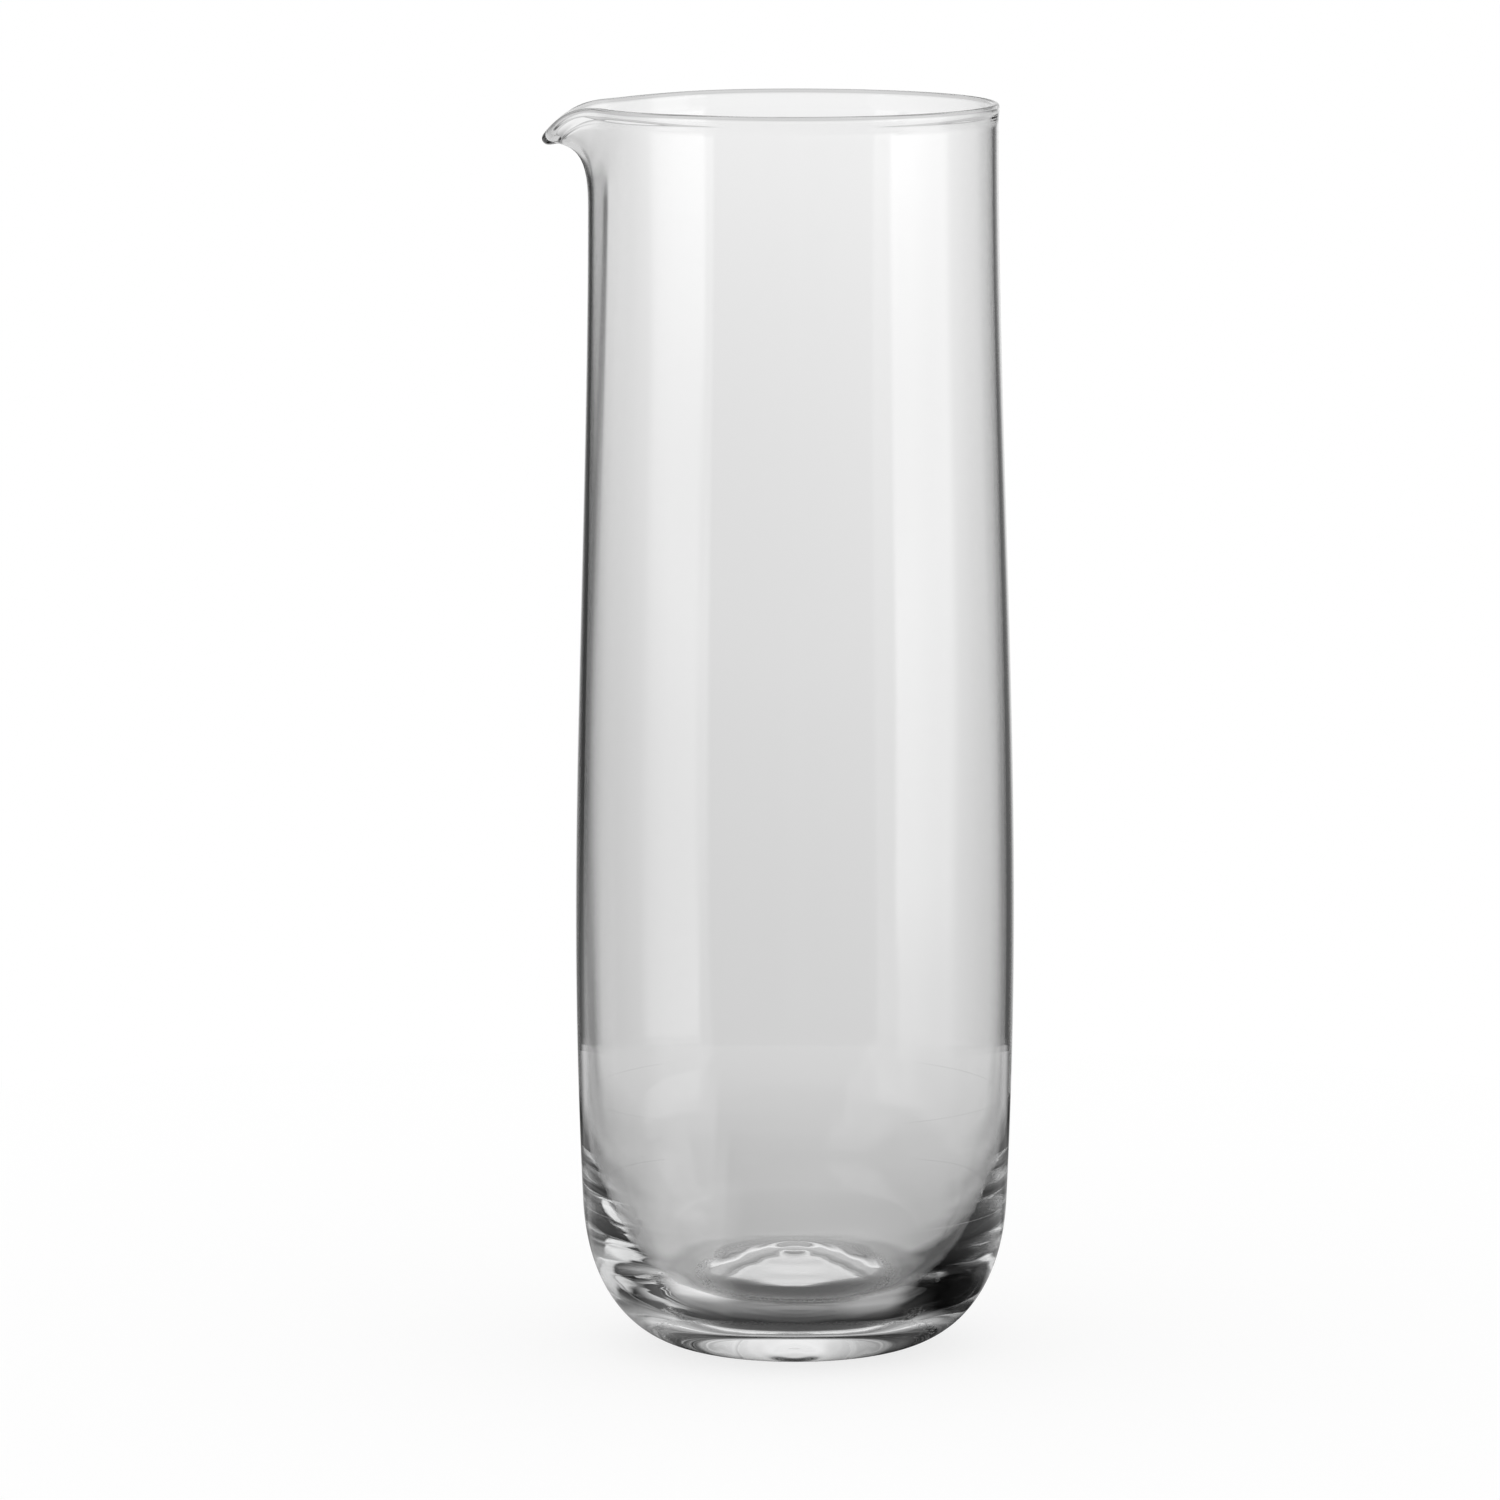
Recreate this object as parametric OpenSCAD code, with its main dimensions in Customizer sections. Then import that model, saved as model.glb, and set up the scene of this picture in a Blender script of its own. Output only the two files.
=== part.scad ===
// Water carafe: one vessel of blown glass with a heavy base and a pulled pouring lip.
// Millimetres, +Z up. The foot stands on Z = 0 and the lip points along -X.

/* [Body] */
// Height of the plain rim above the table
body_h = 250; // [210:5:300]
// Outside diameter at the widest place
belly_d = 88; // [80:1:100]
// Height of the widest place
belly_z = 84; // [70:1:110]
// Outside diameter of the mouth
mouth_d = 80.6; // [70:0.2:88]

/* [Heel and foot] */
// Height of the rounded heel
heel_h = 29; // [22:1:40]
// How far the wall has drawn in from the belly at the top of the heel
heel_draw = 1.3; // [0.4:0.1:3]
// Outside diameter of the ring that the carafe stands on
foot_d = 44; // [42:0.2:56]
// Angle at which the heel leaves the table, in degrees
heel_lift = 8; // [0:1:20]
// Width of the ring of glass that touches the table
ring_w = 0.8; // [0.5:0.1:4]
// Height of the hollow pushed up under the base
punt_h = 2.2; // [0.6:0.1:5]
// Width of the rounded step round the hollow
punt_step = 14.4; // [6:0.1:19]

/* [Glass] */
// Thickness of the wall at the mouth
mouth_wall = 1.1; // [0.9:0.05:1.8]
// Thickness of the wall at the belly
belly_wall = 1.45; // [1.1:0.05:2.4]
// Height of the floor inside, where it meets the heel
base_t = 9.8; // [8:0.1:16]
// Diameter of the floor inside
floor_d = 40; // [30:1:46]
// How far the middle of the floor is pushed up
floor_rise = 3.8; // [0:0.1:6]
// Width of the rounded step round the raised floor
floor_step = 17.4; // [6:0.1:19]
// Height at which the inside of the heel runs out into the wall
inner_heel_z = 51; // [46:1:64]
// Thickness of the fire-polished rim
rim_t = 1.5; // [1.2:0.05:2.2]
// Depth below the rim over which the wall thickens into it
rim_run = 3; // [2:0.5:6]

/* [Pouring lip] */
// How far the tip stands out from the mouth
lip_reach = 10.2; // [6:0.2:12]
// How far the tip drops below the rim
lip_drop = 6.2; // [3:0.2:8]
// Height of wall that is bent out into the lip
lip_bend_h = 20; // [14:1:30]
// Thickness of the bead at the tip
tip_t = 2.6; // [1.8:0.1:3]
// Angle to each side over which the lip falls away, in degrees
lip_spread = 13.2; // [10:0.2:18]
// Angle to each side over which the drop falls away, in degrees
drop_spread = 8.8; // [7:0.2:13]
// Depth of the pouring groove where it meets the lip
groove_depth = 1.1; // [0.4:0.1:1.8]
// Height at which the groove starts
groove_z = 125; // [112:1:180]
// Half of the angle that the groove takes up, in degrees
groove_angle = 27; // [16:1:30]
// How far the rim sags on both sides of the lip
rim_sag = 0.35; // [0:0.05:0.8]

/* [Hidden] */

// Where the middle of the rounded rim lies, and where the wall starts to bend outwards
rim_z = body_h - rim_t / 2;
bend_z = rim_z - lip_bend_h;

// Handles of the curves, as shares of the sizes that each curve spans
heel_foot_share = 0.53;
heel_side_share = 0.62;
floor_run_share = 0.66;
inner_side_share = 0.62;
inner_draw_share = 0.035;
bend_knee_share = 0.26;
bend_rise_shares = [0.52, 0.62];

// How quickly the groove deepens with height, how strongly its sides are pressed in below the
// lip, and the angle over which the rim sags
groove_power = 1.6;
groove_pinch_share = 4.6;
sag_angle = 50;

// Columns round the vessel: close together at the lip, wider elsewhere
lip_half_angle = 30;
lip_columns = 20;
back_columns = 50;

// Rows of the skin
heel_rows = 8;
body_rows = 9;
bend_rows = 9;
rim_rows = 5;
inner_heel_rows = 8;
floor_rows = 8;
punt_rows = 8;

// Step used to find the slope of the wall, and how far a cut runs past the glass
probe = 0.05;
overrun = 1;

glass_tint = [0.80, 0.84, 0.85, 0.45];

function bezier(a, b, c, d, t) =
    pow(1 - t, 3) * a + 3 * pow(1 - t, 2) * t * b + 3 * (1 - t) * t * t * c + pow(t, 3) * d;

// Rises smoothly from 0 to 1 as t does
function ease(t) = let (s = min(1, max(0, t))) s * s * (3 - 2 * s);

function unit(v) = v / norm(v);

// A point at an angle from the lip's direction
function place(angle, r, z) = [-r * cos(angle), -r * sin(angle), z];

function outer_r(z) = z < belly_z
    ? belly_d / 2 - heel_draw * pow((belly_z - z) / (belly_z - heel_h), 2)
    : belly_d / 2 - (belly_d - mouth_d) / 2 * ease((z - belly_z) / (body_h - belly_z));

function wall(z) = mouth_wall + (belly_wall - mouth_wall) * (rim_z - z) / (rim_z - belly_z);

// Share of the lip's reach and of its drop that is left at an angle from the tip
function reach_share(angle) = exp(-pow(angle / lip_spread, 2));
function drop_share(angle) = exp(-pow(angle / drop_spread, 2));

function groove(angle, z) = abs(angle) > groove_angle || z < groove_z
    ? 0
    : groove_depth * pow((z - groove_z) / (rim_z - groove_z), groove_power)
        * (1 + cos(180 * angle / groove_angle)) / 2
        * (1 - groove_pinch(z) * pow(angle / groove_angle, 2));

// The pressing fades out where the wall bends into the lip
function groove_pinch(z) = groove_pinch_share * (1 - ease((z - bend_z) / lip_bend_h));

// Middle of the glass wall at a height z of the straight wall, after the lip is pulled
bend_reach = lip_reach - groove_depth + mouth_wall / 2 - tip_t / 2;

function middle(angle, z) = let (
        t = max(0, (z - bend_z) / lip_bend_h),
        out = bezier(0, 0, bend_knee_share * bend_reach, bend_reach, t),
        bent_z = bezier(0, bend_rise_shares[0] * lip_bend_h, bend_rise_shares[1] * lip_bend_h,
            lip_bend_h - lip_drop, t),
        fall = (t * lip_bend_h - bent_z) * drop_share(angle),
        sag = rim_sag * exp(-pow(angle / sag_angle, 4)) * t * t
    ) place(angle,
        outer_r(z) - wall(z) / 2 + groove(angle, z) + out * reach_share(angle),
        z - fall - sag);

function up_slope(angle, z) = unit(middle(angle, z + probe) - middle(angle, z - probe));

function outward(angle, z) = unit(cross(
    middle(angle + probe, z) - middle(angle - probe, z),
    middle(angle, z + probe) - middle(angle, z - probe)));

// Half the thickness of the glass, which swells into the rounded rim and the tip's bead
function half_wall(angle, z) = let (
        rim_half = (rim_t + (tip_t - rim_t) * reach_share(angle)) / 2
    ) wall(z) / 2 + (rim_half - wall(rim_z) / 2) * ease((z - rim_z + rim_run) / rim_run);

angles = concat(
    [for (i = [0:lip_columns - 1]) (2 * i / lip_columns - 1) * lip_half_angle],
    [for (i = [0:back_columns - 1]) lip_half_angle + i * (360 - 2 * lip_half_angle) / back_columns]);

// Angles measured the short way round from the lip
columns = [for (a = angles) a > 180 ? a - 360 : a];

wall_heights = concat(
    [for (i = [1:body_rows]) heel_h + i * (bend_z - heel_h) / body_rows],
    [for (i = [1:bend_rows]) bend_z + i * lip_bend_h / bend_rows]);

function ring(p) = [for (a = columns) place(a, p[0], p[1])];

function wall_row(z, side) =
    [for (a = columns) middle(a, z) + side * half_wall(a, z) * outward(a, z)];

function rim_row(turn) = [for (a = columns) middle(a, rim_z)
    + half_wall(a, rim_z) * (cos(turn) * outward(a, rim_z) + sin(turn) * up_slope(a, rim_z))];

// Outside of the heel, from the foot up to the wall
heel_top = [outer_r(heel_h), heel_h];
heel_lean = 2 * heel_draw / (belly_z - heel_h);
heel_span = heel_top[0] - foot_d / 2;

function heel_point(t) = bezier(
    [foot_d / 2, 0],
    [foot_d / 2, 0] + heel_foot_share * heel_span * [cos(heel_lift), sin(heel_lift)],
    heel_top - heel_side_share * heel_h * [heel_lean, 1],
    heel_top, t);

// Inside of the heel, from the floor up to the wall
inner_top = [outer_r(inner_heel_z) - wall(inner_heel_z), inner_heel_z];
inner_span = inner_top - [floor_d / 2, base_t];

function inner_heel_point(t) = bezier(
    [floor_d / 2, base_t],
    [floor_d / 2 + floor_run_share * inner_span[0], base_t],
    inner_top - [inner_draw_share * inner_span[0], inner_side_share * inner_span[1]],
    inner_top, t);

// Floor from its edge towards the middle, where it is pushed up
function floor_point(t) = [
    floor_d / 2 * (1 - t),
    base_t + floor_rise * ease(floor_d / 2 * t / floor_step)];

skin_rows = concat(
    [for (i = [0:heel_rows]) ring(heel_point(i / heel_rows))],
    [for (z = wall_heights) wall_row(z, 1)],
    [for (i = [1:rim_rows]) rim_row(180 * i / (rim_rows + 1))],
    [for (i = [len(wall_heights) - 1:-1:0]) if (wall_heights[i] > inner_heel_z)
        wall_row(wall_heights[i], -1)],
    [for (i = [inner_heel_rows:-1:0]) ring(inner_heel_point(i / inner_heel_rows))],
    [for (i = [1:floor_rows - 1]) ring(floor_point(i / floor_rows))]);

// Closed skin of the vessel, turned so that both sides of the lip mirror each other
module skin(rows) {
    count = len(rows[0]);
    points = [for (row = rows) for (p = row) p];
    sides = [for (i = [0:len(rows) - 2]) for (j = [0:count - 1]) let (
            k = (j + 1) % count,
            low = [i * count + j, i * count + k],
            high = low + [count, count]
        ) each columns[j] < 0
            ? [[low[0], high[0], high[1]], [low[0], high[1], low[1]]]
            : [[low[0], high[0], low[1]], [low[1], high[0], high[1]]]];
    foot = [for (j = [0:count - 1]) j];
    floor_face = [for (j = [count - 1:-1:0]) (len(rows) - 1) * count + j];
    polyhedron(points, concat(sides, [foot, floor_face]));
}

// Hollow of the underside, which leaves a ring to stand on
module punt() {
    punt_r = foot_d / 2 - ring_w;
    edge = [for (i = [1:punt_rows]) let (t = i / punt_rows)
        [punt_r - punt_step * t, punt_h * ease(t)]];
    rotate_extrude($fn = 96) polygon(concat(
        [[0, -overrun], [punt_r, -overrun], [punt_r, 0]],
        edge,
        [[0, punt_h]]));
}

module glass_vessel() {
    color(glass_tint) difference() {
        skin(skin_rows);
        punt();
    }
}

glass_vessel();
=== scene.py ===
import math

import bpy
from mathutils import Matrix, Vector


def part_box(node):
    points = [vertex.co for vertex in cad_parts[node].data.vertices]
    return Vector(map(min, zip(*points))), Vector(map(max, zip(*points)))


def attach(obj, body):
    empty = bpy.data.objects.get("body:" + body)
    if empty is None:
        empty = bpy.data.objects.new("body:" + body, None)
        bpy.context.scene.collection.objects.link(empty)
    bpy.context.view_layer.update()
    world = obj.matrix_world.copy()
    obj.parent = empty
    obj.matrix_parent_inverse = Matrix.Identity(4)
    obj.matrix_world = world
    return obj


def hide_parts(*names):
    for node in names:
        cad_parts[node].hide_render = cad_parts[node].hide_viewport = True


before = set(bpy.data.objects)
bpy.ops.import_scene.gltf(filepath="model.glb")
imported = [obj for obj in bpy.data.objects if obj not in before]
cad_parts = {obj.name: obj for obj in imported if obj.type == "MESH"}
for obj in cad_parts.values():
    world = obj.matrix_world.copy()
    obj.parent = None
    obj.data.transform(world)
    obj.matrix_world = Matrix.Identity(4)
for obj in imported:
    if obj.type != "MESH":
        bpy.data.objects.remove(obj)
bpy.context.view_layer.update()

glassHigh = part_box("glass_vessel")[1]
print("frame loaded:", len(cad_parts), "node")

# a water carafe of clear blown glass that stays inside the box of the CAD part, on a pale table
# in a studio whose tones only the glass sees
# those tones are painted reflections of soft boxes and flags, and a painted shadow on the table

millimetre = 0.001
degree = math.radians(1.0)
white = (1.0, 1.0, 1.0, 1.0)


class Wire:  # a value on its way through a node tree, so that sums are written plainly
    def __init__(self, tree, socket):
        self.tree = tree
        self.socket = socket

    def make(self, kind, how, values, out=0):
        node = self.tree.nodes.new(kind)
        node.operation = how
        for place, value in enumerate(values):
            plug(self.tree, node.inputs[place], value)
        return Wire(self.tree, node.outputs[out])

    def math(self, how, *others):
        return self.make("ShaderNodeMath", how, (self, *others))

    def vector(self, how, *others, out=0):
        return self.make("ShaderNodeVectorMath", how, (self, *others), out)

    def __add__(self, other):
        return self.math("ADD", other)

    def __radd__(self, other):
        return self.math("ADD", other)

    def __sub__(self, other):
        return self.math("SUBTRACT", other)

    def __rsub__(self, other):
        return self.make("ShaderNodeMath", "SUBTRACT", (other, self))

    def __mul__(self, other):
        return self.math("MULTIPLY", other)

    def __rmul__(self, other):
        return self.math("MULTIPLY", other)

    def __truediv__(self, other):
        return self.math("DIVIDE", other)

    def __pow__(self, other):
        return self.math("POWER", other)


def plug(tree, socket, value):
    if isinstance(value, Wire):
        tree.links.new(value.socket, socket)
    else:
        socket.default_value = value


def atLeast(value, low):
    return value.math("MAXIMUM", low)


def atMost(value, high):
    return value.math("MINIMUM", high)


def ease(value):  # rises smoothly from 0 to 1 as the value does
    held = atMost(atLeast(value, 0.0), 1.0)
    return held * held * (3.0 - 2.0 * held)


def bell(value, width, power):  # 1 at zero, falling away on both sides
    return ((value.math("ABSOLUTE") / width) ** power * -1.0).math("EXPONENT")


def curve(start, startHandle, endHandle, end, share):  # start is zero or a wire
    left = 1.0 - share
    total = left * left * share * 3.0 * startHandle
    total = total + left * share * share * 3.0 * endHandle + share * share * share * end
    if isinstance(start, Wire):
        total = total + left * left * left * start
    return total


def partsOf(tree, vector):  # the three parts of a vector, as wires
    split = tree.nodes.new("ShaderNodeSeparateXYZ")
    plug(tree, split.inputs[0], vector)
    return [Wire(tree, split.outputs[label]) for label in ("X", "Y", "Z")]


def scaled(direction, amount):
    node = direction.tree.nodes.new("ShaderNodeVectorMath")
    node.operation = "SCALE"
    plug(direction.tree, node.inputs[0], direction)
    plug(direction.tree, node.inputs["Scale"], amount)
    return Wire(direction.tree, node.outputs[0])


def placeAt(tree, angle, radius, height):  # angle from the lip's direction, which is -X
    node = tree.nodes.new("ShaderNodeCombineXYZ")
    plug(tree, node.inputs["X"], radius * angle.math("COSINE") * -1.0)
    plug(tree, node.inputs["Y"], radius * angle.math("SINE") * -1.0)
    plug(tree, node.inputs["Z"], height)
    return Wire(tree, node.outputs[0])


def noiseOf(tree, spot, scale=1.0, detail=2.0):  # 0 to 1, about a half on average
    noise = tree.nodes.new("ShaderNodeTexNoise")
    noise.inputs["Scale"].default_value = scale
    noise.inputs["Detail"].default_value = detail
    plug(tree, noise.inputs["Vector"], spot)
    return Wire(tree, noise.outputs[0])


def newGroup(name, inputs, label, socketType):  # a group of shape nodes with one output
    tree = bpy.data.node_groups.new(name, "GeometryNodeTree")
    for size, value in inputs.items():
        socket = tree.interface.new_socket(size, in_out="INPUT", socket_type="NodeSocketFloat")
        socket.default_value = value
    tree.interface.new_socket(label, in_out="OUTPUT", socket_type=socketType)
    enter = tree.nodes.new("NodeGroupInput")
    leave = tree.nodes.new("NodeGroupOutput")
    return tree, {size: Wire(tree, enter.outputs[size]) for size in inputs}, leave.inputs[label]


def useGroup(tree, group, values):
    node = tree.nodes.new("GeometryNodeGroup")
    node.node_tree = group
    for label, value in values.items():
        plug(tree, node.inputs[label], value)
    return Wire(tree, node.outputs[0])


# sizes of the vessel in millimetres, its angles in radians
vesselSizes = {
    "bodyHeight": glassHigh[2] / millimetre,
    "bellyDiameter": glassHigh[0] / millimetre * 2.0,
    "bellyHeight": 84.0,
    "mouthDiameter": 80.6,
    "heelHeight": 29.0,
    "heelDraw": 1.3,
    "footDiameter": 44.0,
    "heelLift": 8.0 * degree,
    "ringWidth": 0.8,
    "puntDepth": 2.2,
    "puntStep": 14.4,
    "mouthWall": 1.1,
    "bellyWall": 1.45,
    "baseThickness": 9.8,
    "floorDiameter": 40.0,
    "floorRise": 3.8,
    "floorStep": 17.4,
    "innerHeelHeight": 51.0,
    "rimThickness": 1.5,
    "rimRun": 3.0,
    "lipReach": 10.18,
    "lipDrop": 6.2,
    "lipBendHeight": 20.0,
    "tipThickness": 2.6,
    "lipSpread": 13.2 * degree,
    "dropSpread": 8.8 * degree,
    "grooveDepth": 1.1,
    "grooveStart": 125.0,
    "grooveAngle": 27.0 * degree,
    "rimSag": 0.35,
    "sagAngle": 50.0 * degree,
    # handles of the curves, as shares of the sizes that each curve spans
    "heelFootShare": 0.53,
    "heelSideShare": 0.62,
    "floorRunShare": 0.66,
    "innerSideShare": 0.62,
    "innerDrawShare": 0.035,
    "bendKneeShare": 0.26,
    "bendLowShare": 0.52,
    "bendHighShare": 0.62,
    # how quickly the groove deepens with height, and how strongly its sides are pressed in
    "groovePower": 1.6,
    "groovePinch": 4.6,
    # waves that the mould and the tools left in the thick glass inside. They set in over a
    # share of the inner heel, and stop short of the middle of the floor
    "rippleDepth": 0.07,
    "rippleLength": 34.0,
    "rippleStep": 3.0,
    "rippleHeelShare": 0.25,
    "rippleCalmShare": 0.24,
    "rippleFloorShare": 0.4,
    # turning rings in the middle of the floor, which fade over its outer share
    "ringHeight": 0.02,
    "ringStep": 4.4,
    "ringFadeShare": 0.5,
}

# columns round the vessel and rows along each part of its skin. The skin is open at two rings,
# where the wall starts further than the weld from a heel: it overlaps the outer heel by
# 0.04 mm, and leaves a gap of 0.02 mm above the inner heel
skinGrid = {
    "columns": 256,
    "crowding": 0.6,           # how much closer together the columns stand at the lip
    "straightShare": 0.6,      # share of the rows that the straight part of the wall takes
    "slopeStep": 0.25,         # millimetres and degrees, used to find the slope of the wall
    "weld": 0.004,             # millimetres
    "rows": {
        "underside": 34,
        "heel": 44,
        "outer": 72,
        "rim": 12,
        "inner": 66,
        "innerHeel": 92,
        "floor": 50,
    },
}


def straightWall(size, height):  # outer radius of the wall before the lip is pulled
    down = (size["bellyHeight"] - height) / (size["bellyHeight"] - size["heelHeight"])
    up = (height - size["bellyHeight"]) / (size["bodyHeight"] - size["bellyHeight"])
    low = size["bellyDiameter"] * 0.5 - size["heelDraw"] * atLeast(down, 0.0) ** 2.0
    return low - (size["bellyDiameter"] - size["mouthDiameter"]) * 0.5 * ease(up)


def rimHeight(size):
    return size["bodyHeight"] - size["rimThickness"] * 0.5


def glassAt(size, height):  # thickness of the wall
    top = rimHeight(size)
    extra = size["bellyWall"] - size["mouthWall"]
    return size["mouthWall"] + extra * (top - height) / (top - size["bellyHeight"])


def middleGroup():  # middle of the glass, at a height of the wall before the lip is pulled
    tree, size, leave = newGroup(
        "wallMiddle", {"angle": 0.0, "height": 0.0, **vesselSizes}, "middle", "NodeSocketVector")
    angle = size["angle"]
    height = size["height"]
    top = rimHeight(size)
    bend = size["lipBendHeight"]
    reach = size["lipReach"] - size["grooveDepth"] + size["mouthWall"] * 0.5
    reach = reach - size["tipThickness"] * 0.5
    run = atLeast((height - (top - bend)) / bend, 0.0)
    out = curve(0.0, 0.0, reach * size["bendKneeShare"], reach, run)
    bent = curve(0.0, bend * size["bendLowShare"], bend * size["bendHighShare"],
                 bend - size["lipDrop"], run)
    fall = (run * bend - bent) * bell(angle, size["dropSpread"], 2.0)
    sag = size["rimSag"] * bell(angle, size["sagAngle"], 4.0) * run * run
    climb = atLeast((height - size["grooveStart"]) / (top - size["grooveStart"]), 0.0)
    turn = atMost(angle.math("ABSOLUTE") / size["grooveAngle"], 1.0)
    groove = size["grooveDepth"] * climb ** size["groovePower"]
    groove = groove * (1.0 + (turn * math.pi).math("COSINE")) * 0.5
    groove = groove * (1.0 - size["groovePinch"] * (1.0 - ease(run)) * turn * turn)
    radius = straightWall(size, height) - glassAt(size, height) * 0.5 + groove
    radius = radius + out * bell(angle, size["lipSpread"], 2.0)
    plug(tree, leave, placeAt(tree, angle, radius, height - fall - sag))
    return tree


def wallGroup(middleTree):  # a point of the wall's skin: turn 0 is outside, half a turn is inside
    tree, size, leave = newGroup(
        "wallSkin", {"angle": 0.0, "height": 0.0, "turn": 0.0, **vesselSizes},
        "point", "NodeSocketVector")

    def middle(moveAngle, moveHeight):
        values = {label: size[label] for label in vesselSizes}
        values["angle"] = size["angle"] + moveAngle * degree
        values["height"] = size["height"] + moveHeight
        return useGroup(tree, middleTree, values)

    probe = skinGrid["slopeStep"]
    around = middle(probe, 0.0).vector("SUBTRACT", middle(-probe, 0.0))
    up = middle(0.0, probe).vector("SUBTRACT", middle(0.0, -probe))
    outward = around.vector("CROSS_PRODUCT", up).vector("NORMALIZE")
    rise = up.vector("NORMALIZE")
    swell = (size["tipThickness"] - size["rimThickness"]) * bell(
        size["angle"], size["lipSpread"], 2.0)
    rimHalf = (size["rimThickness"] + swell) * 0.5
    nearRim = ease((size["height"] - rimHeight(size) + size["rimRun"]) / size["rimRun"])
    half = glassAt(size, size["height"]) * 0.5 + (rimHalf - size["mouthWall"] * 0.5) * nearRim
    side = scaled(outward, half * size["turn"].math("COSINE"))
    lean = scaled(rise, half * size["turn"].math("SINE"))
    plug(tree, leave, middle(0.0, 0.0).vector("ADD", side.vector("ADD", lean)))
    return tree


def vesselTree(material):
    wallTree = wallGroup(middleGroup())
    tree, size, leave = newGroup("carafeVessel", vesselSizes, "Geometry", "NodeSocketGeometry")
    join = tree.nodes.new("GeometryNodeJoinGeometry")
    spot = tree.nodes.new("GeometryNodeInputPosition")
    across, along = partsOf(tree, Wire(tree, spot.outputs[0]))[:2]
    way = across * math.tau  # once round, from -180 to 180 degrees
    angle = way - way.math("SINE") * skinGrid["crowding"]
    share = along + 0.5  # 0 to 1 along each part of the skin
    down = 1.0 - share

    def part(name, point):
        grid = tree.nodes.new("GeometryNodeMeshGrid")
        grid.inputs["Size X"].default_value = 1.0
        grid.inputs["Size Y"].default_value = 1.0
        grid.inputs["Vertices X"].default_value = skinGrid["columns"] + 1
        grid.inputs["Vertices Y"].default_value = skinGrid["rows"][name] + 1
        move = tree.nodes.new("GeometryNodeSetPosition")
        tree.links.new(grid.outputs["Mesh"], move.inputs["Geometry"])
        plug(tree, move.inputs["Position"], scaled(point, millimetre))
        tree.links.new(move.outputs["Geometry"], join.inputs["Geometry"])

    def wallPoint(height, turn):
        return useGroup(tree, wallTree, {"angle": angle, "height": height, "turn": turn, **size})

    def wallHeight(start, climb):  # from the start up to the rim
        knee = skinGrid["straightShare"]
        low = atMost(climb / knee, 1.0)
        high = atLeast((climb - knee) / (1.0 - knee), 0.0)
        bend = rimHeight(size) - size["lipBendHeight"]
        return start + (bend - start) * low + size["lipBendHeight"] * high

    def rippled(radius, height, hold):
        spot = placeAt(tree, angle, radius / size["rippleLength"], height / size["rippleStep"])
        push = (noiseOf(tree, spot) - 0.5) * size["rippleDepth"] * hold
        return radius + push, height - push

    footRadius = size["footDiameter"] * 0.5
    radius = footRadius * share
    hollow = ease((footRadius - size["ringWidth"] - radius) / size["puntStep"])
    part("underside", placeAt(tree, angle, radius, size["puntDepth"] * hollow))

    heel = size["heelHeight"]
    heelTop = straightWall(size, heel)
    heelLean = size["heelDraw"] * 2.0 / (size["bellyHeight"] - heel)
    handle = (heelTop - footRadius) * size["heelFootShare"]
    radius = curve(footRadius, footRadius + handle * size["heelLift"].math("COSINE"),
                   heelTop - heel * size["heelSideShare"] * heelLean, heelTop, share)
    height = curve(0.0, handle * size["heelLift"].math("SINE"),
                   heel * (1.0 - size["heelSideShare"]), heel, share)
    part("heel", placeAt(tree, angle, radius, height))

    inner = size["innerHeelHeight"]
    part("outer", wallPoint(wallHeight(heel, share), 0.0))
    part("rim", wallPoint(rimHeight(size), share * math.pi))
    part("inner", wallPoint(wallHeight(inner, down), math.pi))

    floorRadius = size["floorDiameter"] * 0.5
    base = size["baseThickness"]
    innerTop = straightWall(size, inner) - glassAt(size, inner)
    span = innerTop - floorRadius
    radius = curve(floorRadius, floorRadius + span * size["floorRunShare"],
                   innerTop - span * size["innerDrawShare"], innerTop, down)
    height = curve(base, base, inner - (inner - base) * size["innerSideShare"], inner, down)
    hold = ease(share / size["rippleHeelShare"])
    part("innerHeel", placeAt(tree, angle, *rippled(radius, height, hold)))

    radius = floorRadius * down
    rings = (radius * math.tau / size["ringStep"]).math("COSINE")
    rings = rings * ease(share / size["ringFadeShare"])
    height = base + size["floorRise"] * ease(floorRadius * share / size["floorStep"])
    height = height + size["ringHeight"] * rings
    hold = ease((down - size["rippleCalmShare"]) / size["rippleFloorShare"])
    part("floor", placeAt(tree, angle, *rippled(radius, height, hold)))

    weld = tree.nodes.new("GeometryNodeMergeByDistance")
    weld.inputs["Distance"].default_value = skinGrid["weld"] * millimetre
    smooth = tree.nodes.new("GeometryNodeSetShadeSmooth")
    real = tree.nodes.new("GeometryNodeRealizeInstances")
    paint = tree.nodes.new("GeometryNodeSetMaterial")
    paint.inputs["Material"].default_value = material
    last = join
    for node in (weld, smooth, real, paint):
        tree.links.new(last.outputs[0], node.inputs["Geometry"])
        last = node
    tree.links.new(last.outputs[0], leave)
    return tree


def makeVessel(material):
    vessel = bpy.data.objects.new("carafe_glass", bpy.data.meshes.new("carafe_glass"))
    bpy.context.scene.collection.objects.link(vessel)
    tree = vesselTree(material)
    blow = vessel.modifiers.new("blow", "NODES")
    blow.node_group = tree
    for item in tree.interface.items_tree:
        if item.in_out == "INPUT":
            blow[item.identifier] = vesselSizes[item.name]
    ready = bpy.context.evaluated_depsgraph_get()
    skin = bpy.data.meshes.new_from_object(vessel.evaluated_get(ready), depsgraph=ready)
    vessel.modifiers.remove(blow)
    skin.materials.clear()
    skin.materials.append(material)
    skin.polygons.foreach_set("material_index", [0] * len(skin.polygons))
    vessel.data = skin
    return vessel


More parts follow.
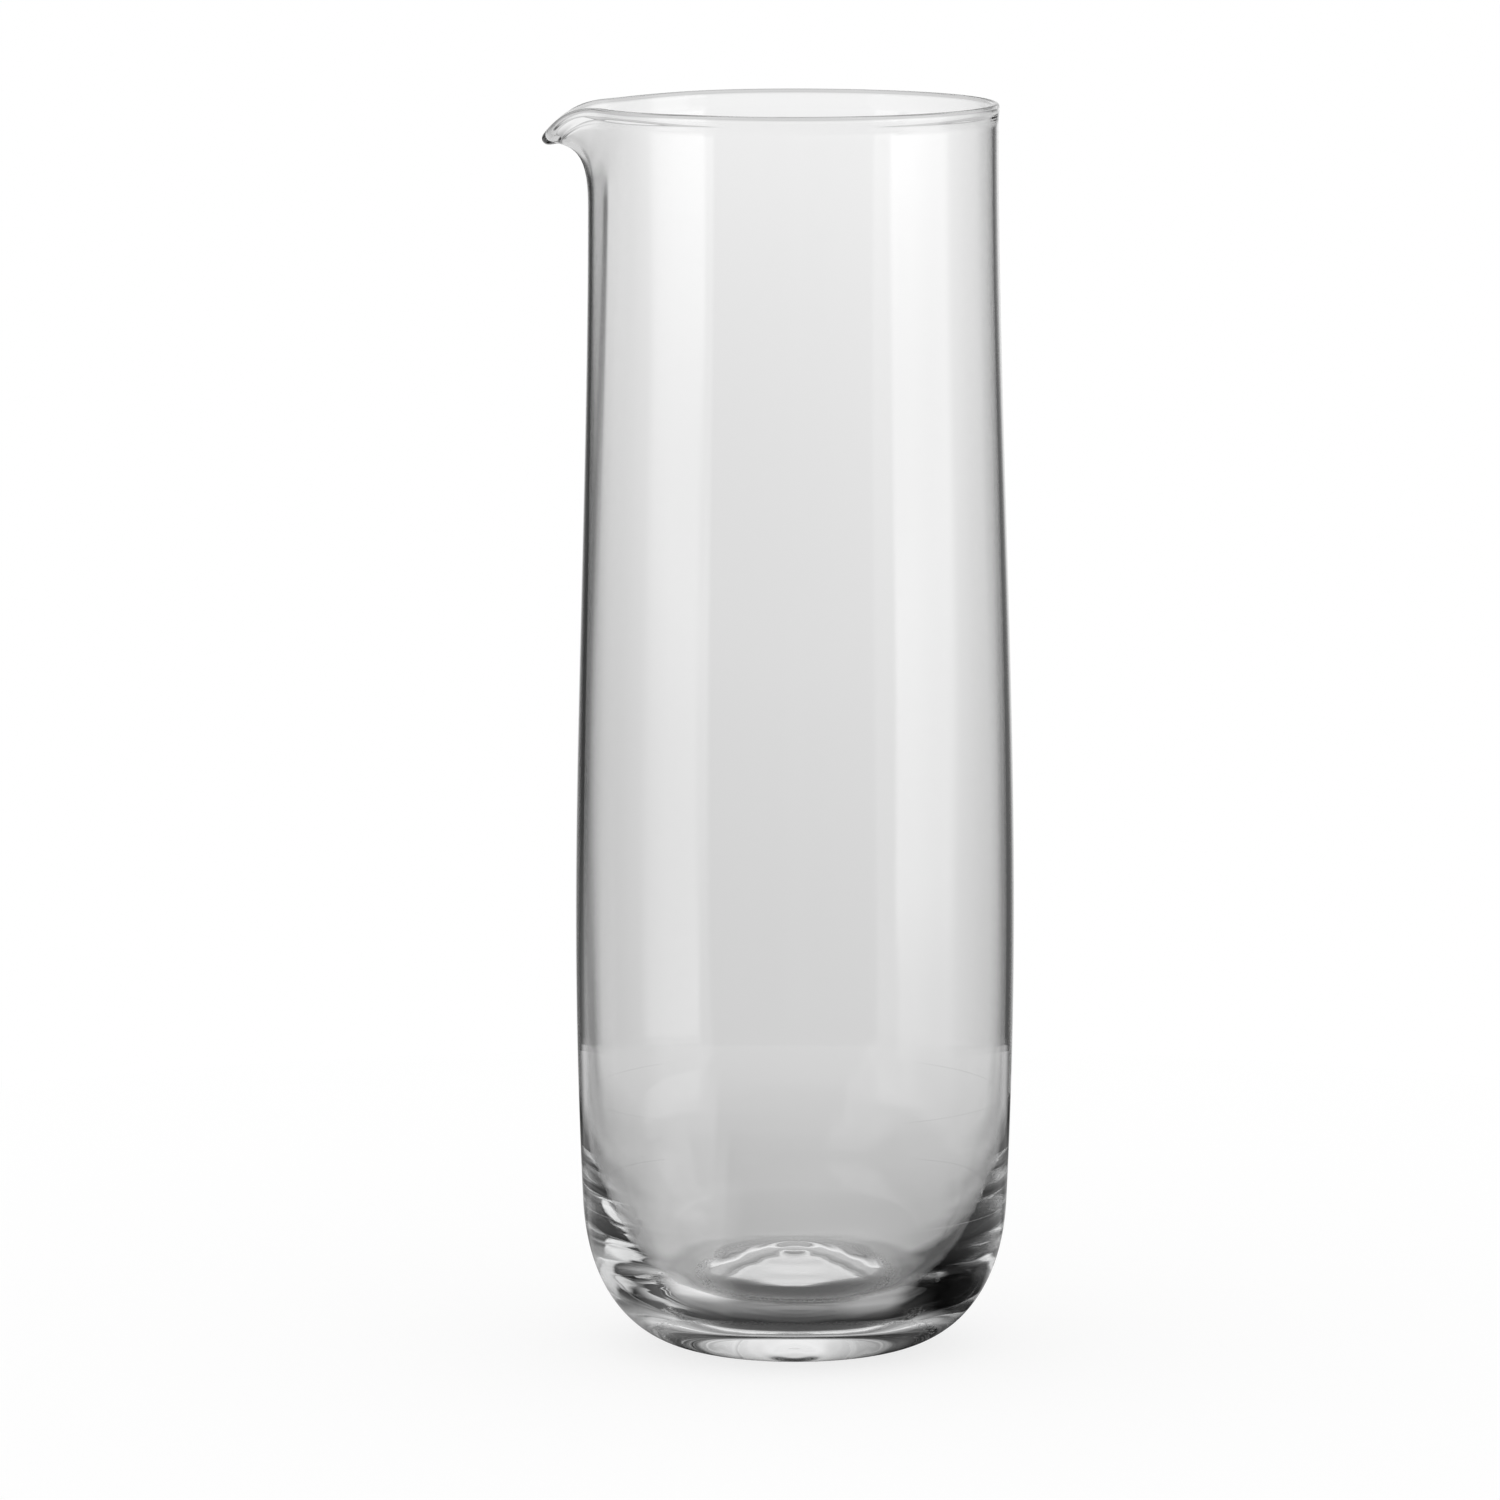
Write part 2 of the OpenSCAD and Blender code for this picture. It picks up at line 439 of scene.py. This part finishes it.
# lengths in metres
glassLook = {
    "tint": (0.99, 0.99, 0.99, 1.0),
    "index": 1.5,
    "depthTint": (0.83, 0.84, 0.84, 1.0),
    "depthDensity": 4.0,
    # upright waves that drawing the wall left
    "waveHeight": 0.00002,
    "waveScale": (90.0, 90.0, 8.0),
    "waveDetail": 1.0,
    # scuffs on the foot, which end at a height and lie where the noise passes a bound
    "scuffTop": 0.0003,
    "scuffScale": 1400.0,
    "scuffBound": 0.4,
    "scuffSoftness": 0.2,
    "scuffRoughness": 0.35,
}


def makeGlass():
    material = bpy.data.materials.new("clearGlass")
    material.use_nodes = True
    tree = material.node_tree
    tree.nodes.clear()
    leave = tree.nodes.new("ShaderNodeOutputMaterial")
    glass = tree.nodes.new("ShaderNodeBsdfPrincipled")
    glass.inputs["Base Color"].default_value = glassLook["tint"]
    glass.inputs["Metallic"].default_value = 0.0
    glass.inputs["IOR"].default_value = glassLook["index"]
    glass.inputs["Transmission Weight"].default_value = 1.0
    place = Wire(tree, tree.nodes.new("ShaderNodeTexCoord").outputs["Object"])

    stretch = tree.nodes.new("ShaderNodeMapping")
    stretch.inputs["Scale"].default_value = glassLook["waveScale"]
    plug(tree, stretch.inputs["Vector"], place)
    drawn = tree.nodes.new("ShaderNodeBump")
    drawn.inputs["Distance"].default_value = glassLook["waveHeight"]
    waves = noiseOf(tree, Wire(tree, stretch.outputs["Vector"]), detail=glassLook["waveDetail"])
    plug(tree, drawn.inputs["Height"], waves)
    tree.links.new(drawn.outputs["Normal"], glass.inputs["Normal"])

    height = partsOf(tree, place)[2]
    low = 1.0 - ease(height / glassLook["scuffTop"])
    grit = noiseOf(tree, place, scale=glassLook["scuffScale"])
    grit = ease((grit - glassLook["scuffBound"]) / glassLook["scuffSoftness"])
    plug(tree, glass.inputs["Roughness"], low * grit * glassLook["scuffRoughness"])

    depth = tree.nodes.new("ShaderNodeVolumeAbsorption")
    depth.inputs["Color"].default_value = glassLook["depthTint"]
    depth.inputs["Density"].default_value = glassLook["depthDensity"]
    tree.links.new(glass.outputs["BSDF"], leave.inputs["Surface"])
    tree.links.new(depth.outputs["Volume"], leave.inputs["Volume"])
    return material


vessel = makeVessel(makeGlass())
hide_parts("glass_vessel")
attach(vessel, "root")
print("vessel blown:", len(vessel.data.polygons), "faces")


# tones that only the glass sees round it. Each row is a list of bearings with their tones.
# Bearings are in degrees: 0 straight behind, 90 to the right
# these are painted light and shade, seen only in the glass: painted reflections of soft boxes and
# black flags round it, and a painted shadow of the vessel on the table
studio = {
    "tableRadius": 0.35,
    "tableSides": 96,
    "tableDrop": 0.0002,      # the table lies this far below the foot
    "tableGlow": 0.8,         # share of even white that the camera sees, the rest takes shadow
    # rows by height above the horizon in degrees, with painted reflections of soft boxes and
    # flags
    "paintedRoomReflections": {
        -16: [(-180, 0.75), (-137, 1.0), (-108, 0.95), (-75, 0.7), (-45, 0.66), (-20, 0.64),
              (0, 0.7), (20, 0.64), (45, 0.66), (75, 0.7), (100, 0.85), (125, 0.85), (180, 0.75)],
        -12: [(-180, 0.65), (-140, 0.65), (-138, 1.1), (-112, 1.0), (-98, 0.6), (-72, 0.5),
              (-56, 0.35), (-50, 0.35), (-45, 0.45), (-36, 0.35), (-28, 0.15), (-22, 0.06),
              (-14, 0.05), (-10, 0.6), (0, 0.66), (5, 0.6), (8, 0.4), (11, 0.08), (24, 0.08),
              (34, 0.3), (41, 0.4), (66, 0.45), (80, 0.6), (88, 1.0), (119, 1.0), (122, 0.65),
              (180, 0.65)],
        -10: [(-180, 0.65), (-138.5, 0.65), (-137, 1.1), (-112, 1.0), (-98, 0.6), (-72, 0.5),
              (-56, 0.35), (-50, 0.35), (-45, 0.45), (-36, 0.3), (-28, 0.12), (-22, 0.05),
              (-13, 0.03), (-10, 0.58), (0, 0.68), (5, 0.6), (8, 0.4), (11, 0.08), (24, 0.08),
              (34, 0.25), (41, 0.4), (66, 0.4), (80, 0.6), (88, 1.1), (119, 1.2), (121, 0.65),
              (180, 0.65)],
        -8: [(-180, 0.65), (-137.5, 0.65), (-136, 1.2), (-112, 1.1), (-98, 0.65), (-72, 0.5),
             (-60, 0.4), (-45, 0.45), (-38, 0.05), (-15, 0.03), (-10.5, 0.62), (0, 0.76),
             (6, 0.68), (9, 0.5), (14, 0.1), (35, 0.1), (42, 0.4), (66, 0.4), (80, 0.6),
             (88, 1.6), (121, 1.8), (123, 0.65), (180, 0.65)],
        -4: [(-180, 0.75), (-136.5, 0.75), (-135, 1.65), (-112, 1.5), (-102, 1.1), (-92, 0.7),
             (-72, 0.5), (-60, 0.45), (-45, 0.45), (-38, 0.05), (-20, 0.05), (-11, 0.85),
             (0, 0.95), (9, 0.88), (16, 0.15), (28, 0.1), (36, 0.4), (66, 0.4), (77, 0.7),
             (83, 1.7), (120, 2.1), (122, 0.75), (180, 0.75)],
        -1: [(-180, 0.3), (-136, 0.15), (-100, 0.02), (-60, 0.02), (-36, 0.3), (-12, 0.95),
             (0, 0.95), (14, 0.5), (40, 0.35), (70, 0.4), (100, 0.5), (120, 0.5), (180, 0.3)],
        8: [(-180, 0.1), (-100, 0.0), (-55, 0.0), (-30, 0.5), (-14, 0.95), (16, 0.95),
            (40, 0.4), (80, 0.02), (85, 0.8), (110, 1.1), (112, 0.02), (180, 0.1)],
        26: [(-180, 0.02), (-60, 0.0), (-35, 0.25), (-10, 0.5), (25, 0.45), (50, 0.1),
             (80, 0.02), (86, 0.8), (106, 0.9), (108, 0.02), (180, 0.02)],
        40: [(-180, 0.0), (-60, 0.0), (-30, 0.3), (20, 0.4), (50, 0.1), (60, 0.7), (80, 0.7),
             (82, 0.0), (180, 0.0)],
        60: [(-180, 0.02), (-60, 0.02), (-20, 0.35), (20, 0.35), (60, 0.1), (180, 0.02)],
    },
    # rows by distance from the vessel's axis in millimetres, with painted shadow and reflections
    "paintedTableShadowAndReflections": {
        18: [(-180, 0.05), (-110, 0.05), (-60, 0.25), (0, 0.15), (60, 0.25), (110, 0.05),
             (180, 0.05)],
        23: [(-180, 0.01), (-110, 0.01), (-60, 0.25), (0, 0.3), (60, 0.25), (100, 0.01),
             (180, 0.01)],
        26: [(-180, 0.03), (-150, 0.03), (-100, 0.04), (-50, 0.3), (0, 0.4), (50, 0.3),
             (85, 0.02), (115, 0.03), (130, 0.1), (146, 0.1), (160, 0.03), (180, 0.03)],
        30: [(-180, 0.2), (-150, 0.18), (-138, 0.15), (-115, 0.3), (-90, 0.05), (-50, 0.3),
             (0, 0.45), (50, 0.3), (85, 0.02), (115, 0.08), (128, 0.45), (146, 0.4),
             (160, 0.22), (180, 0.2)],
        34: [(-180, 0.3), (-160, 0.3), (-145, 0.9), (-125, 0.9), (-105, 0.1), (-60, 0.4),
             (-20, 0.5), (20, 0.55), (52, 0.45), (62, 0.0), (112, 0.0), (125, 0.4), (145, 0.4),
             (160, 0.3), (180, 0.3)],
        70: [(-180, 0.45), (-160, 0.45), (-155, 1.4), (-120, 1.4), (-105, 0.15), (-80, 0.1),
             (-50, 0.45), (-26, 0.5), (0, 0.54), (35, 0.5), (60, 0.02), (120, 0.02),
             (150, 0.4), (180, 0.45)],
        130: [(-180, 0.55), (-152, 0.55), (-149, 1.5), (-118, 1.3), (-103, 0.5), (-75, 0.35),
              (-62, 0.2), (-54, 0.25), (-50, 0.4), (-45, 0.4), (-40, 0.12), (-35, 0.1),
              (-29, 0.5), (0, 0.58), (22, 0.54), (26, 0.4), (30, 0.1), (35, 0.12), (41, 0.35),
              (60, 0.3), (75, 0.4), (92, 0.55), (126, 0.55), (180, 0.55)],
        260: [(-180, 0.65), (-145, 0.65), (-143, 1.3), (-116, 1.1), (-102, 0.6), (-72, 0.55),
              (-58, 0.5), (-36, 0.5), (-31, 0.08), (-24, 0.05), (-18, 0.45), (-14, 0.6),
              (0, 0.64), (13, 0.6), (18, 0.06), (24, 0.08), (30, 0.45), (60, 0.5), (88, 0.65),
              (92, 0.8), (123, 0.8), (125, 0.65), (180, 0.65)],
        345: [(-180, 0.7), (-140, 0.7), (-138, 1.1), (-112, 0.95), (-99, 0.65), (-75, 0.62),
              (-40, 0.6), (-34, 0.55), (-28, 0.08), (-20.5, 0.03), (-17, 0.58), (-8, 0.66),
              (0, 0.68), (11, 0.62), (13.5, 0.5), (17, 0.06), (23, 0.08), (29, 0.5), (45, 0.6),
              (70, 0.62), (82, 0.65), (90, 0.9), (120, 0.9), (122, 0.7), (180, 0.7)],
    },
}


def rampOf(tree, value, stops):  # tone that goes evenly from stop to stop
    first = stops[0][0]
    last = stops[-1][0]
    ramp = tree.nodes.new("ShaderNodeValToRGB")
    ramp.color_ramp.interpolation = "LINEAR"
    marks = ramp.color_ramp.elements
    while len(marks) < len(stops):
        marks.new(0.5)
    for mark, (place, tone) in zip(marks, stops):
        mark.position = (place - first) / (last - first)
        mark.color = (tone, tone, tone, 1.0)
    plug(tree, ramp.inputs[0], (value - first) / (last - first))
    return Wire(tree, ramp.outputs["Color"])


def toneField(tree, place, climb, rows):  # blends from row to row as climb goes up
    x, y = partsOf(tree, place)[:2]
    bearing = x.math("ARCTAN2", y) / degree
    heights = sorted(rows)
    ramps = {height: rampOf(tree, bearing, rows[height]) for height in heights}
    tone = ramps[heights[0]]
    for low, high in zip(heights, heights[1:]):
        share = atMost(atLeast((climb - float(low)) / float(high - low), 0.0), 1.0)
        tone = tone + (ramps[high] - ramps[low]) * share
    return tone


def raysOf(tree):  # 1 for rays that glass reflects or lets through, and 1 for the camera's own
    path = tree.nodes.new("ShaderNodeLightPath")
    glossy = Wire(tree, path.outputs["Is Glossy Ray"])
    through = Wire(tree, path.outputs["Is Transmission Ray"])
    return glossy.math("MAXIMUM", through), Wire(tree, path.outputs["Is Camera Ray"])


def makeWorld():
    world = bpy.data.worlds.new("studio")
    bpy.context.scene.world = world
    world.use_nodes = True
    tree = world.node_tree
    tree.nodes.clear()
    leave = tree.nodes.new("ShaderNodeOutputWorld")
    glow = tree.nodes.new("ShaderNodeBackground")
    glow.inputs["Color"].default_value = white
    place = Wire(tree, tree.nodes.new("ShaderNodeTexCoord").outputs["Generated"])
    rise = partsOf(tree, place)[2].math("ARCSINE") / degree
    tone = toneField(tree, place, rise, studio["paintedRoomReflections"])
    seen = raysOf(tree)[0]
    # glass rays see the painted reflections, all other rays an even white
    plug(tree, glow.inputs["Strength"], seen * (tone - 1.0) + 1.0)
    tree.links.new(glow.outputs["Background"], leave.inputs["Surface"])


def makeTable():
    table = bpy.data.objects.new("table_top", bpy.data.meshes.new("table_top"))
    bpy.context.scene.collection.objects.link(table)
    sides = studio["tableSides"]
    radius = studio["tableRadius"]
    turns = [math.tau * side / sides for side in range(sides)]
    points = [(radius * math.cos(turn), radius * math.sin(turn), -studio["tableDrop"])
              for turn in turns]
    table.data.from_pydata(points, [], [list(range(sides))])
    material = bpy.data.materials.new("paleTable")
    material.use_nodes = True
    tree = material.node_tree
    tree.nodes.clear()
    leave = tree.nodes.new("ShaderNodeOutputMaterial")
    place = Wire(tree, tree.nodes.new("ShaderNodeTexCoord").outputs["Object"])
    distance = place.vector("LENGTH", out="Value") / millimetre
    tone = toneField(tree, place, distance, studio["paintedTableShadowAndReflections"])
    seen, camera = raysOf(tree)
    cloth = tree.nodes.new("ShaderNodeBsdfDiffuse")
    cloth.inputs["Color"].default_value = white
    glow = tree.nodes.new("ShaderNodeEmission")
    # glass rays see a painted shadow round the foot and painted reflections on the table, all
    # other rays an even white
    plug(tree, glow.inputs["Strength"], seen * (tone - 1.0) + 1.0)
    blend = tree.nodes.new("ShaderNodeMixShader")
    plug(tree, blend.inputs[0], atMost(seen + camera * studio["tableGlow"], 1.0))
    tree.links.new(cloth.outputs[0], blend.inputs[1])
    tree.links.new(glow.outputs[0], blend.inputs[2])
    tree.links.new(blend.outputs[0], leave.inputs["Surface"])
    table.data.materials.append(material)


makeWorld()
makeTable()
print("studio set")


# distances in metres
cameraPlace = {
    "distance": 1.887,                # from the vessel's axis
    "height": 0.38394,
    "swing": 3.3 * degree,            # the lip points a little away from the camera
    "pitch": 7.954 * degree,
    "photoWidth": 1500.0,             # in the photo's pixels, like the next two
    "focalLength": 9514.0,
    "axisRight": 45.5,                # the vessel's axis stands this far right of the middle
    "sensorWidth": 36.0,              # in millimetres
    "nearest": 0.05,
    "farthest": 50.0,
}


def makeCamera():
    camera = bpy.data.objects.new("camera", bpy.data.cameras.new("camera"))
    bpy.context.scene.collection.objects.link(camera)
    focal = cameraPlace["focalLength"]
    camera.data.sensor_width = cameraPlace["sensorWidth"]
    camera.data.lens = focal / cameraPlace["photoWidth"] * cameraPlace["sensorWidth"]
    camera.data.clip_start = cameraPlace["nearest"]
    camera.data.clip_end = cameraPlace["farthest"]
    swing = cameraPlace["swing"]
    spot = Vector((math.sin(swing), -math.cos(swing), 0.0)) * cameraPlace["distance"]
    spot.z = cameraPlace["height"]
    yaw = math.atan(cameraPlace["axisRight"] / focal)
    turn = Matrix.Rotation(swing + yaw, 4, "Z")
    tilt = Matrix.Rotation(math.pi / 2 - cameraPlace["pitch"], 4, "X")
    camera.matrix_world = Matrix.Translation(spot) @ turn @ tilt
    bpy.context.scene.camera = camera


makeCamera()
print("camera placed")

# light goes round many times inside the thick base before it leaves
lightBounces = {"all": 24, "glossy": 16, "through": 24}
cycles = bpy.context.scene.cycles
cycles.max_bounces = lightBounces["all"]
cycles.glossy_bounces = lightBounces["glossy"]
cycles.transmission_bounces = lightBounces["through"]

bpy.context.scene.view_settings.view_transform = "Standard"
